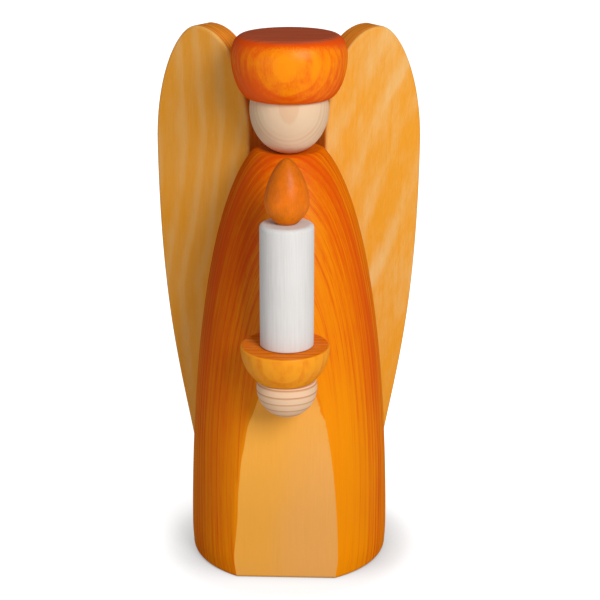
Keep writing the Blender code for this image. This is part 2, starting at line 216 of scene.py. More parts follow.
class WoodColours(PropertyGroup):
    """Colours of the glazes, the plain wood and the paint."""

    robe_bright: colour("Robe, front", "Glaze on the front of the body", (0.87, 0.265, 0.0005))
    robe_deep: colour("Robe, bands", "Glaze on the deep bands of the body", (0.70, 0.075, 0.0005))
    sawn_bright: colour("Sawn face", "Glaze on the sawn front face", (0.87, 0.39, 0.055))
    hat_bright: colour("Hat, side", "Glaze on the side of the hat", (0.93, 0.270, 0.0005))
    hat_deep: colour("Hat, top", "Glaze on the end grain of the hat", (0.47, 0.088, 0.034))
    wing_bright: colour("Wing", "Glaze on the wings' face", (0.82, 0.325, 0.022))
    wing_pale: colour("Wing, bands", "Pale bands on the wings' face", (0.82, 0.50, 0.190))
    wing_deep: colour("Wing, edge", "Glaze on the wings' edges", (0.80, 0.25, 0.022))
    cup_bright: colour("Cup", "Glaze on the cup's bowl", (0.88, 0.325, 0.012))
    cup_deep: colour("Cup, top", "Glaze on the cup's flat top", (0.86, 0.19, 0.002))
    plain_bright: colour("Plain wood", "Bare wood of the head and hand", (0.80, 0.57, 0.38))
    plain_deep: colour("Plain wood, rings", "Rings in the bare wood", (0.66, 0.38, 0.20))
    flame_colour: colour("Flame", "Glaze on the flame", (0.70, 0.145, 0.0005))
    candle_colour: colour("Candle", "Paint on the candle", (0.71, 0.69, 0.67))


class StudioLight(PropertyGroup):
    """Strengths of the studio's lights."""

    key: amount("Key light", "Power of the large light at the front right, in watts", 10.8)
    fill: amount("Fill light", "Power of the light at the front left, in watts", 2.2)
    sky: amount("Sky", "Strength of the light from all round", 0.25)


# Finishes


class Signal:
    """A socket whose value changes over a surface. Arithmetic on it adds Math nodes."""

    def __init__(self, finish, socket):
        self.finish = finish
        self.socket = socket

    def _math(self, operation, *operands):
        settings = {"operation": operation}
        return self.finish.node("ShaderNodeMath", settings, dict(enumerate(operands)))

    def __add__(self, other):
        return self._math("ADD", self, other)

    __radd__ = __add__

    def __mul__(self, other):
        return self._math("MULTIPLY", self, other)

    __rmul__ = __mul__

    def __sub__(self, other):
        return self._math("SUBTRACT", self, other)

    def __rsub__(self, other):
        return self._math("SUBTRACT", other, self)

    def __truediv__(self, other):
        return self._math("DIVIDE", self, other)

    def larger(self, other):
        """The larger of two values."""
        return self._math("MAXIMUM", self, other)

    def fraction(self):
        """What is left of the value past its whole number."""
        return self._math("FRACT", self)

    def whole(self):
        """The value's whole number."""
        return self._math("FLOOR", self)

    def between(self, low, high):
        """Rises smoothly from 0 at low to 1 at high."""
        return self.finish.node(
            "ShaderNodeMapRange",
            {"interpolation_type": "SMOOTHSTEP"},
            {"Value": self, "From Min": low, "From Max": high},
        )


class Nodes:
    """A node tree that is filled from expressions."""

    def __init__(self, tree):
        self.tree = tree

    def node(self, kind, settings=None, values=None, output=0):
        """Add a node: its settings first, then the values or links of its sockets."""
        made = self.tree.nodes.new(kind)
        for key, value in (settings or {}).items():
            if key == "stops":
                self.set_stops(made.color_ramp, *value)
            else:
                setattr(made, key, value)
        for key, value in (values or {}).items():
            if isinstance(value, Signal):
                self.tree.links.new(value.socket, made.inputs[key])
            else:
                made.inputs[key].default_value = value
        return Signal(self, made.outputs[output])

    def set_stops(self, ramp, stops, kind):
        """Give a ramp its kind and its stops, each a place and a grey level."""
        ramp.interpolation = kind
        while len(ramp.elements) < len(stops):
            ramp.elements.new(1.0)
        for element, (place, level) in zip(ramp.elements, stops):
            element.position = place
            element.color = (level, level, level, 1.0)

    def seen_ray(self):
        """1 for the rays that look at the background: straight, in gloss or through glass."""
        straight, gloss, glass = (
            self.node("ShaderNodeLightPath", output=f"Is {kind} Ray")
            for kind in ("Camera", "Glossy", "Transmission")
        )
        return straight.larger(gloss).larger(glass)


class Finish(Nodes):
    """A material made of nodes round one Principled shader."""

    def __init__(self, name):
        self.material = bpy.data.materials.new(name)
        self.material.use_nodes = True
        super().__init__(self.material.node_tree)
        self.shader = self.tree.nodes["Principled BSDF"]

    def blend(self, first, second, share):
        """Mix two colours by a share."""
        first, second = (
            tint if isinstance(tint, Signal) else (*tint, 1.0) for tint in (first, second)
        )
        return self.node("ShaderNodeMix", {"data_type": "RGBA"}, {0: share, 6: first, 7: second}, 2)

    def darken(self, tint, share):
        """Multiply a colour by a share."""
        return self.node("ShaderNodeVectorMath", {"operation": "SCALE"}, {0: tint, "Scale": share})

    def grown(self, turn=(0.0, 0.0, 0.0), place=(0.0, 0.0, 0.0)):
        """Object coordinates in millimetres, turned the way the wood grew."""
        values = {
            "Vector": self.node("ShaderNodeTexCoord", output="Object"),
            "Location": place,
            "Rotation": turn,
            "Scale": (MM, MM, MM),
        }
        return self.node("ShaderNodeMapping", None, values)

    def stretched(self, point, scale):
        """The same place with each axis scaled, so that a pattern runs along the grain."""
        return self.node("ShaderNodeVectorMath", {"operation": "MULTIPLY"}, {0: point, 1: scale})

    def noise(self, point, scale, detail=2.0, roughness=0.5, distortion=0.0):
        """Cloudy noise from 0 to 1."""
        values = {
            "Vector": self.stretched(point, scale),
            "Scale": 1.0,
            "Detail": detail,
            "Roughness": roughness,
            "Distortion": distortion,
        }
        return self.node("ShaderNodeTexNoise", None, values)

    def depth(self, point, far, wander):
        """Depth in the wood: millimetres toward the bark, from a heart that lies far behind."""
        across = self.stretched(self.shift(point, (0.0, -far, 0.0)), (1.0, 1.0, 0.0))
        reach = self.reach(across)
        drift = self.noise(point, (0.04, 0.04, 0.010), 2.0) - 0.5
        return reach - far + drift * wander

    def reach(self, point):
        """How far a place is from the middle."""
        return self.node("ShaderNodeVectorMath", {"operation": "LENGTH"}, {0: point}, "Value")

    def shift(self, point, step):
        """The same place, moved."""
        return self.node("ShaderNodeVectorMath", {"operation": "ADD"}, {0: point, 1: step})

    def chance(self, count):
        """A random value for each whole number."""
        settings = {"noise_dimensions": "1D"}
        return self.node("ShaderNodeTexWhiteNoise", settings, {"W": count.whole()}, "Value")

    def late_wood(self, depth, spacing, start, full, phase=0.0, fade=0.93):
        """The dark late wood of each year, which ends sharply, in some years more strongly."""
        count = depth / spacing + phase
        ring = count.fraction()
        line = ring.between(start, full) * (1.0 - ring.between(fade, 1.0))
        return line * (0.45 + self.chance(count) * 0.55)

    def ramp(self, value, low, high, levels, kind="EASE"):
        """Run through grey levels while a value goes from low to high."""
        share = (value - low) / (high - low)
        stops = [(step / (len(levels) - 1), level) for step, level in enumerate(levels)]
        return self.node("ShaderNodeValToRGB", {"stops": (stops, kind)}, {"Fac": share})

    def sawn_edge(self):
        """Half the width of the sawn face, in millimetres, at each height of the body."""
        levels = [half / SAWN_SCALE for half in SAWN_HALVES]
        return self.ramp(self.part("Z"), SAWN_LOW, SAWN_HIGH, levels, "CARDINAL") * SAWN_SCALE

    def height(self, low, high):
        """Rises smoothly from 0 to 1 between two heights above the table."""
        return self.part("Z").between(low, high)

    def part(self, axis):
        """One of the Object coordinates, in metres."""
        point = self.node("ShaderNodeTexCoord", output="Object")
        return self.node("ShaderNodeSeparateXYZ", None, {0: point}, axis)

    def mark(self, name):
        """A value that is kept on the mesh."""
        return self.node("ShaderNodeAttribute", {"attribute_name": name}, None, "Fac")

    def done(self, tint, roughness, bump, depth=0.00006, wax=0.06, blur=0.42):
        """Join colour, roughness and relief to the shader, under a thin coat of wax."""
        values = {"Strength": 1.0, "Distance": depth, "Height": bump}
        relief = self.node("ShaderNodeBump", None, values)
        for name, value in (("Base Color", tint), ("Roughness", roughness), ("Normal", relief)):
            self.tree.links.new(value.socket, self.shader.inputs[name])
        self.shader.inputs["Specular IOR Level"].default_value = 0.0
        self.shader.inputs["Coat IOR"].default_value = WAX_IOR
        self.shader.inputs["Coat Roughness"].default_value = blur
        if isinstance(wax, Signal):
            self.tree.links.new(wax.socket, self.shader.inputs["Coat Weight"])
        else:
            self.shader.inputs["Coat Weight"].default_value = wax
        return self.material


def tinted(tint, gain):
    """A colour with each part multiplied by its own gain."""
    return tuple(min(1.0, part * by) for part, by in zip(tint, gain))


def robe_bands(finish, colours, depth, line, fibre, streak, cloud, foot):
    """The orange glaze: deep bands round the body's front, with painted shade on its left."""
    point = finish.grown(ROBE_TURN)
    hair = finish.noise(point, (0.04, 2.1, 0.007), 4.0, 0.72).between(0.50, 0.68)
    band = finish.ramp(depth, 0.0, BAND_REACH, ROBE_BANDS)
    lines = finish.ramp(depth, 0.0, BAND_REACH, ROBE_LINES)
    low = 1.0 - finish.height(0.040, 0.110)
    # Painted shade: the left side, turned from the key light, is glazed deeper, redder and a little
    # darker.
    left = (-3.0 - finish.part("X") * MM).between(0.0, 16.0)
    share = band + (line - 0.4) * lines + (streak - 0.5) + (fibre - 0.5) * 0.85
    share = share + (cloud - 0.5) * 0.6 + hair * 0.48 - 0.14
    share = share - low * 0.30 + left * (0.04 + depth.between(24.0, 40.0) * 0.38)
    # Painted shade under the flame and head: the upper left is glazed deeper still.
    share = share + left * finish.height(0.120, 0.150) * 0.16
    bright, deep = tuple(colours.robe_bright), tuple(colours.robe_deep)
    tint = finish.blend(bright, deep, share.between(-0.15, 1.15))
    # Painted shadow of the candle, flame and head: the glaze on the left above the hand is
    # darkened.
    painted_candle_shadow = left * finish.height(0.085, 0.115)
    shade = 0.97 + (fibre - 0.5) * 0.14 - painted_candle_shadow * 0.10 - left * 0.03 + foot * 0.16
    return finish.darken(tint, shade)


def sawn_face(finish, colours, cloud, foot):
    """The pale sawn face, with the orange glaze lapping over its edges."""
    point = finish.grown(ROBE_TURN)
    pale = finish.noise(point, (1.4, 1.4, 0.020), 3.0, 0.6)
    across = finish.part("X") * 22.0 - finish.part("Z") * 9.0 + 0.75 + (cloud - 0.5) * 1.2
    sawn = tuple(colours.sawn_bright)
    tint = finish.blend(sawn, tinted(sawn, (0.98, 1.01, 1.75)), across.between(0.0, 1.0))
    # Painted light: the face grows lighter upward toward the hand, against the hand's shadow, and
    # is lightened again at its foot.
    shade = 0.885 + pale * 0.10 + finish.height(0.018, 0.072) * 0.070 + foot * 0.125
    tint = finish.darken(tint, shade)
    ragged = (finish.noise(point, (0.9, 0.9, 0.35), 3.0, 0.7) - 0.5) * 3.2
    right = finish.part("X") * MM - finish.sawn_edge() + ragged
    bleed = right.between(-0.9, -0.3) * finish.height(0.050, 0.065)
    tint = finish.blend(tint, tinted(colours.robe_bright, (1.0, 0.9, 1.0)), bleed)
    # The glaze laps over the left edge. Its darker tint is painted shade, matching the body's side
    # beside it, which turns from the light.
    slip = finish.height(0.0, 0.032) * 2.3 - 1.75
    lap = (finish.part("X") * -MM - finish.sawn_edge() + slip).between(-0.15, 0.15)
    return finish.blend(tint, tinted(colours.robe_bright, (0.84, 0.80, 1.0)), lap)


def robe_glaze(colours):
    """The body's orange glaze over rings that lie across its front, with a pale sawn face."""
    finish = Finish("robe_glaze")
    point = finish.grown(ROBE_TURN)
    depth = finish.depth(point, ROBE_HEART, 3.5)
    fibre = finish.noise(point, (0.70, 2.6, 0.055), 3.0, 0.70)
    streak = finish.noise(point, (0.05, 0.85, 0.010), 3.0, 0.6)
    cloud = finish.noise(point, (0.05, 0.06, 0.018), 2.0)
    line = finish.late_wood(depth + (streak - 0.5) * 1.8, RED_YEAR, 0.2, 0.8)
    # Painted light: the glaze is lightened toward the foot, where the body turns down into shade.
    foot = 1.0 - finish.height(-0.004, 0.034)
    robe = robe_bands(finish, colours, depth, line, fibre, streak, cloud, foot)
    tint = finish.blend(robe, sawn_face(finish, colours, cloud, foot), finish.mark("sawn"))
    roughness = 0.36 + fibre * 0.10 + line * 0.05
    return finish.done(tint, roughness, fibre * 0.5 + line * 0.3, wax=0.04)


def hat_glaze(colours):
    """The hat's glaze: bright in front, redder round its rim, dark on the end grain."""
    finish = Finish("hat_glaze")
    point = finish.grown()
    depth = finish.depth(point, HAT_HEART, 4.0)
    fibre = finish.noise(point, (1.6, 2.4, 0.10), 3.0, 0.65)
    cloud = finish.noise(point, (0.17, 0.30, 0.13), 4.0, 0.65)
    line = finish.late_wood(depth + (cloud - 0.5) * 1.6, RED_YEAR, 0.2, 0.8, phase=0.55)
    slope = finish.mark("slope")
    front = finish.ramp(depth, 0.0, HAT_REACH, HAT_BANDS)
    under = (slope * -1.0).between(0.0, 0.6)
    # Painted shade: the hat's left half, turned from the key light, is glazed deeper and redder.
    left = (finish.part("X") * -MM).between(1.0, 14.0)
    share = (line - 0.3) * 0.42 + (cloud - 0.5) * 1.7 + (fibre - 0.5) * 0.8 + front
    share = share + under * 0.60 + left * 0.44
    bright = tuple(colours.hat_bright)
    tint = finish.blend(bright, tinted(bright, (0.86, 0.36, 1.0)), share.between(-0.15, 1.25))
    grain = finish.noise(point, (0.03, 0.9, 0.5), 3.0, 0.65)
    top = finish.darken(tuple(colours.hat_deep), 0.44 + grain * 0.92 + line * 0.20)
    red = tinted(colours.hat_deep, (1.62, 0.86, 0.06))
    rim = finish.blend(red, top, slope.between(0.68, 1.0))
    beside = 1.0 - depth.between(12.0, 23.0)
    reach = slope + (fibre - 0.5) * 0.45 + beside * 0.22 - 0.14
    tint = finish.blend(tint, rim, reach.between(0.20, 0.64))
    wax = 0.075 - slope.between(0.4, 0.8) * 0.055
    relief = fibre * 0.5 + line * 0.4
    return finish.done(tint, 0.34 + fibre * 0.10, relief, wax=wax, blur=0.37)


def wing_glaze(colours, name, turn, spacing, bend, seed, strength):
    """The wings' honey glaze: broad soft pale bands, and darker striped edges."""
    finish = Finish(name)
    point = finish.grown(turn, (seed, seed, 0.0))
    warp = finish.noise(point, (0.016, 0.016, 0.012), 1.0, 0.5) - 0.5
    tall = finish.part("Z") * MM
    across = finish.node("ShaderNodeSeparateXYZ", None, {0: point}, "X")
    count = (across + warp * 34.0 - tall * tall * bend) / spacing
    ring = count.fraction()
    line = ring.between(0.10, 0.50) * (1.0 - ring.between(0.54, 0.80))
    fibre = finish.noise(point, (1.9, 1.9, 0.040), 3.0, 0.6)
    fleck = finish.noise(point, (0.30, 0.30, 0.09), 4.0, 0.6)
    cloud = finish.noise(point, (0.05, 0.05, 0.020), 2.0)
    patch = finish.noise(point, (0.030, 0.030, 0.014), 2.0, 0.6).between(0.36, 0.62)
    board = finish.grown((0.0, 0.0, turn[2]))
    thread = finish.noise(board, (1.5, 0.10, 0.012), 3.0, 0.7)
    share = line * (0.36 + finish.chance(count) * 0.45) * (0.40 + patch * 0.60)
    share = share + patch * 0.20 + (cloud - 0.5) * 0.7 + (fibre - 0.5) * 0.30
    share = (share + (fleck - 0.5) * 0.75 + (thread - 0.5) * 0.45 + 0.10).between(-0.10, 1.10)
    bright, pale = tuple(colours.wing_bright), tuple(colours.wing_pale)
    tint = finish.blend(bright, pale, share * strength)
    stripe = finish.noise(board, (0.03, 1.0, 0.03), 3.0, 0.65)
    edge = finish.darken(tuple(colours.wing_deep), 0.20 + stripe * 1.6)
    side = finish.mark("end_grain")
    tint = finish.blend(tint, edge, side.between(0.4, 1.0))
    # Painted highlight: a pale line along the rounded rims, where they catch the light.
    arris_highlight = side.between(0.02, 0.35) * (1.0 - side.between(0.45, 0.85))
    tint = finish.blend(tint, tinted(pale, (1.0, 0.95, 0.8)), arris_highlight * 0.45)
    tint = finish.darken(tint, 0.95 + fibre * 0.10)
    return finish.done(tint, 0.46 + fibre * 0.12, fibre, wax=0.03)


def plain_wood(name, bright, deep, turn, rings, phase, hard, pole=None, painted_neck_light=0.0):
    """Bare pale wood with thin rings. At its pole the last ring just comes through."""
    finish = Finish(name)
    point = finish.grown(turn)
    depth = finish.depth(point, PLAIN_HEART, 0.8)
    spacing, start, full, fade = rings
    line = finish.late_wood(depth, spacing, start, full, phase, fade)
    fibre = finish.noise(point, (2.6, 2.6, 0.12), 3.0, 0.6)
    fine = finish.noise(point, (6.0, 6.0, 0.5), 2.0, 0.6)
    share = line * hard + (fibre - 0.5) * 0.30 + (fine - 0.5) * 0.35
    if pole is not None:
        spot = finish.shift(finish.grown(), (-0.2, 0.0, -HEAD_CENTRE * MM - 8.0))
        spot = finish.reach(finish.stretched(spot, (0.21, 0.0, 0.105))) + (fibre - 0.5) * 0.3
        share = share * (1.0 - depth.between(pole - 5.6, pole - 3.6) * 0.92)
        share = share + (1.0 - spot.between(0.85, 1.05)) * 0.40
    tint = finish.blend(bright, deep, share.between(-0.08, 1.0))
    # Painted light: the wood is lightened toward the neck, against the shade and orange bounce
    # under the chin.
    if painted_neck_light > 0.0:
        low = 1.0 - finish.height(HEAD_LOW.z, HEAD_LOW.z + 0.012)
        tint = finish.blend(tint, tinted(bright, (1.25, 1.46, 1.55)), low * painted_neck_light)
    return finish.done(tint, 0.52 + fibre * 0.12, fibre * 0.5 + line * 0.5, wax=0.03)


def head_wood(colours):
    """The head's soft rings round its middle, with painted light toward the neck."""
    bright = tinted(colours.plain_bright, (0.94, 0.96, 0.95))
    deep, turn = tuple(colours.plain_deep), (radians(14), 0.0, 0.0)
    return plain_wood("head_wood", bright, deep, turn, SOFT_RINGS, 0.25, 0.55, 65.3, 0.85)


def hand_wood(colours):
    """The hand's sharp rings, one over another."""
    bright = tinted(colours.plain_bright, (1.0, 0.95, 0.92))
    deep = tinted(colours.plain_deep, (0.82, 0.66, 0.56))
    return plain_wood("hand_wood", bright, deep, (radians(90), 0.0, 0.0), SHARP_RINGS, 0.0, 1.0)


def dowel_wood(colours):
    """The dowels' plain wood."""
    bright, deep = tuple(colours.plain_bright), tuple(colours.plain_deep)
    return plain_wood("dowel_wood", bright, deep, (0.0, 0.0, 0.0), SOFT_RINGS, 0.0, 0.6)


def cup_glaze(colours):
    """The cup's glaze: streaked yellow on the bowl, with lines across its darker flat top."""
    finish = Finish("cup_glaze")
    point = finish.grown((radians(-8), 0.0, radians(3)))
    depth = finish.depth(point, CUP_HEART, 2.4)
    line = finish.late_wood(depth, CUP_YEAR, 0.15, 0.80, phase=0.55)
    fibre = finish.noise(point, (2.4, 2.4, 0.12), 3.0, 0.6)
    cloud = finish.noise(point, (0.26, 0.26, 0.14), 4.0, 0.65)
    slope = finish.mark("slope")
    bright, deep = tuple(colours.cup_bright), tuple(colours.cup_deep)
    share = line * 0.40 + (cloud - 0.5) * 2.0 + (fibre - 0.5) * 0.50
    tint = finish.blend(bright, tinted(bright, (0.88, 0.60, 0.20)), share.between(-0.1, 0.95))
    grain = finish.noise(point, (0.10, 1.0, 0.6), 3.0, 0.7)
    top = finish.blend(deep, tinted(deep, (0.92, 1.15, 18.0)), grain.between(0.45, 0.62))
    top = finish.darken(top, 0.44 + grain * 0.90 + line * 0.16)
    tint = finish.blend(tint, top, slope.between(0.90, 0.99))
    rim = slope.between(0.05, 0.35) * (1.0 - slope.between(0.60, 0.95))
    tint = finish.blend(tint, tinted(bright, (1.0, 0.92, 1.0)), rim * 0.6)
    wax = 0.070 - slope.between(0.6, 0.95) * 0.045
    relief = fibre * 0.5 + line * 0.3
    return finish.done(tint, 0.38 + fibre * 0.10, relief, wax=wax, blur=0.28)


def flame_glaze(colours):
    """The flame's mottled orange glaze, lighter at its foot and deeper at its tip."""
    finish = Finish("flame_glaze")
    point = finish.grown(place=(0.0, 20.0, 0.0))
    fibre = finish.noise(point, (1.6, 1.6, 0.12), 3.0, 0.6)
    cloud = finish.noise(point, (0.34, 0.34, 0.18), 4.0, 0.65)
    flame = tuple(colours.flame_colour)
    foot, tip = tinted(flame, (1.05, 1.18, 1.0)), tinted(flame, (0.88, 0.90, 1.0))
    tint = finish.blend(foot, flame, finish.height(0.168, 0.180))
    tint = finish.blend(tint, tip, finish.height(0.176, 0.192))
    tint = finish.darken(tint, 0.46 + fibre * 0.36 + cloud * 0.70)
    return finish.done(tint, 0.33 + fibre * 0.08, fibre, wax=0.095, blur=0.40)


def candle_paint(colours):
    """White satin paint with the grain just showing through."""
    finish = Finish("candle_paint")
    point = finish.grown()
    fibre = finish.noise(point, (1.5, 1.5, 0.045), 3.0, 0.6, 0.4)
    cloud = finish.noise(point, (0.10, 0.10, 0.04), 2.0)
    paint = tuple(colours.candle_colour)
    share = (fibre * 0.6 + cloud * 0.4).between(0.28, 0.62)
    tint = finish.blend(tinted(paint, (0.90, 0.90, 0.89)), paint, share)
    return finish.done(tint, 0.40 + fibre * 0.12, fibre, depth=0.00010, wax=0.06)


# Shaping


def curve(start, start_pull, end_pull, end, steps=CURVE_STEPS):
    """Points of a cubic curve in the XZ plane."""
    knots = [Vector((x, 0.0, z)) for x, z in (start, start_pull, end_pull, end)]
    return interpolate_bezier(*knots, steps + 1)


def arc(centre, radius, start, end, steps=EDGE_STEPS):
    """Points of an arc in the XZ plane between two angles."""
    x, z = centre
    turns = [start + (end - start) * step / steps for step in range(steps + 1)]
    return [Vector((x + radius * cos(turn), 0.0, z + radius * sin(turn))) for turn in turns]


def flat(start, end, hold=0.0004):
    """A straight run with a point held close to each end, so that its shading stays flat."""
    start, end = Vector((start[0], 0.0, start[1])), Vector((end[0], 0.0, end[1]))
    step = (end - start).normalized() * hold
    return [start, start + step, end - step, end]


def turned(runs, steps):
    """Turn a line of points about the Z axis into a closed skin."""
    bm = bmesh.new()
    line = [bm.verts.new(point) for run in runs for point in run]
    for pair in zip(line, line[1:]):
        bm.edges.new(pair)
    bmesh.ops.remove_doubles(bm, verts=line, dist=1e-6)
    geom = bm.verts[:] + bm.edges[:]
    bmesh.ops.spin(
        bm, geom=geom, cent=(0, 0, 0), axis=(0, 0, 1), angle=tau, steps=steps, use_merge=True
    )
    bmesh.ops.remove_doubles(bm, verts=bm.verts[:], dist=1e-6)
    bmesh.ops.recalc_face_normals(bm, faces=bm.faces[:])
    return bm


def saw(bm, place, outward, mark=None):
    """Saw off what lies outside a plane, close the cut and mark its face."""
    geom = bm.verts[:] + bm.edges[:] + bm.faces[:]
    cut = bmesh.ops.bisect_plane(
        bm, geom=geom, dist=1e-7, plane_co=place, plane_no=outward, clear_outer=True
    )
    rim = [item for item in cut["geom_cut"] if isinstance(item, bmesh.types.BMEdge)]
    made = bmesh.ops.contextual_create(bm, geom=rim)["faces"]
    for face in made:
        face.smooth = False
        if mark is not None:
            face[mark] = 1.0
    bmesh.ops.recalc_face_normals(bm, faces=bm.faces[:])


def mark_slope(bm):
    """Note on each vertex how far the surface there faces up, from -1 to 1."""
    layer = bm.verts.layers.float.new("slope")
    bm.normal_update()
    for vert in bm.verts:
        vert[layer] = vert.normal.z


def keep(bm, name, material, node):
    """Make a piece from a finished bmesh, and let it stand for its node in the frame."""
    mesh = bpy.data.meshes.new(name)
    bm.to_mesh(mesh)
    bm.free()
    mesh.materials.append(material)
    piece = bpy.data.objects.new(name, mesh)
    bpy.context.scene.collection.objects.link(piece)
    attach(piece, "root")
    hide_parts(node)
    return piece


def smooth(bm):
    """Shade every face smooth."""
    for face in bm.faces:
        face.smooth = True


def body_skin(sizes):
    """The turned body: a shallow dish on top, a domed side and a rounded foot."""
    top, widest = BODY_HIGH.z, (sizes.body_radius, sizes.body_widest)
    slope = (cos(sizes.shoulder_angle), -sin(sizes.shoulder_angle))
    start = (sizes.body_top + RIM_DROP * slope[0], top + RIM_DROP * slope[1])
    start_pull = (start[0] + SIDE_PULL * slope[0], start[1] + SIDE_PULL * slope[1])
    end_pull = (widest[0], widest[1] + BELLY_PULL)
    side = curve(start, start_pull, end_pull, widest, 3 * CURVE_STEPS)
    lip = (0.0118, top - 0.0008)
    dish = curve((0.0, top - 0.0023), (0.0045, top - 0.0023), (0.0088, top - 0.0018), lip)
    rim = curve(lip, (0.0132, top - 0.0001), (0.0143, top - 0.0001), start, 2 * EDGE_STEPS)
    foot, inner = widest[0] - 0.0004, widest[0] - 0.0004 - FOOT_ROUND
    tuck = curve(widest, (widest[0], 0.0060), (foot, 0.0036), (foot, FOOT_ROUND), EDGE_STEPS)
    heel = arc((inner, FOOT_ROUND), FOOT_ROUND, 0.0, -pi / 2)
    return turned((dish, rim, side, tuck, heel, flat((inner, 0.0), (0.0, 0.0))), TURN_STEPS)


def make_body(sizes, colours):
    """The body with its sawn face, rounded at the foot of the cut."""
    bm = body_skin(sizes)
    smooth(bm)
    sawn = bm.faces.layers.float.new("sawn")
    reach = sizes.body_radius - sizes.face_depth
    ahead = Vector((-sin(sizes.face_turn), -cos(sizes.face_turn), 0.0))
    saw(bm, ahead * reach, ahead, sawn)
    middle = ahead * (reach - SAW_ROUND) + Vector((0.0, 0.0, SAW_ROUND))
    for step in range(1, SAW_STEPS):
        tip = pi / 2 * step / SAW_STEPS
        outward = ahead * cos(tip) - Vector((0.0, 0.0, sin(tip)))
        saw(bm, middle + outward * SAW_ROUND, outward, sawn)
    for face in bm.faces:
        if face.normal.dot(ahead) > 0.9999:
            face[sawn] = 1.0
            face.smooth = False
    keep(bm, "robe", robe_glaze(colours), "body")


def head_middle(sizes):
    """Height of the head's middle above the table."""
    return HEAD_LOW.z + sizes.head_radius * sizes.head_stretch - HEAD_FLAT


def make_head(sizes, colours):
    """The plain head, a ball drawn out a little in height, on a small flat."""
    bm = bmesh.new()
    bmesh.ops.create_uvsphere(bm, u_segments=96, v_segments=64, radius=sizes.head_radius)
    bmesh.ops.scale(bm, verts=bm.verts[:], vec=(1.0, 1.0, sizes.head_stretch))
    bmesh.ops.translate(bm, verts=bm.verts[:], vec=(0.0, 0.0, head_middle(sizes)))
    smooth(bm)
    saw(bm, (0.0, 0.0, HEAD_LOW.z), (0.0, 0.0, -1.0))
    keep(bm, "head_ball", head_wood(colours), "head")


def make_hat(sizes, colours):
    """The hat, turned like a puck and dished over the head."""
    top, foot = HAT_HIGH.z, HAT_LOW.z
    wide, widest = sizes.hat_radius, HAT_HIGH.z - HAT_WIDEST_DROP
    dish, middle = sizes.head_radius + FIT_GAP, head_middle(sizes)
    tilt = asin((foot - middle) / (dish * sizes.head_stretch))
    rim = dish * cos(tilt) + 0.0005
    edge, side = (wide - HAT_CROWN, top), (wide, widest)
    crown = curve(edge, (wide - 0.00145, top), (wide, widest + 0.0029), side)
    flank = curve(side, (wide, widest - 0.0105), (rim + 0.0030, foot), (rim, foot))
    inside = arc((0.0, 0.0), dish, tilt, pi / 2, 2 * EDGE_STEPS)
    inside = [Vector((point.x, 0.0, point.z * sizes.head_stretch + middle)) for point in inside]
    bm = turned((flat((0.0, top), edge), crown, flank, inside), TURN_STEPS)
    smooth(bm)
    mark_slope(bm)
    keep(bm, "hat_puck", hat_glaze(colours), "hat")


def wing_line():
    """The outline of a wing board, from its root edge over the top and down to its foot."""
    top, low, root = WING_HIGH.z, WING_LOW.z, BODY_HIGH.z + 0.0004
    crest, wide = (WING_CREST, top), (WING_REACH, top - WING_REACH_DROP)
    heel = Vector((WING_HEEL[0], low + WING_HEEL[1]))
    along = Vector((cos(WING_HEEL_ANGLE), sin(WING_HEEL_ANGLE)))
    inner = curve((0.0, root), (0.0, root + 0.0162), (0.0063, top), crest)
    outer = curve(crest, (0.0384, top), (WING_REACH, top - 0.0236), wide)
    trail_pull = (WING_REACH, top - 0.1296)
    trailing = curve(wide, trail_pull, heel + along * 0.0346, heel, 2 * CURVE_STEPS)
    under = curve(heel, heel - along * 0.0140, (0.0285, low), (0.0240, low), 8)
    return [*inner, *outer[1:], *trailing[1:], *under[1:], Vector((0.0, 0.0, low))]


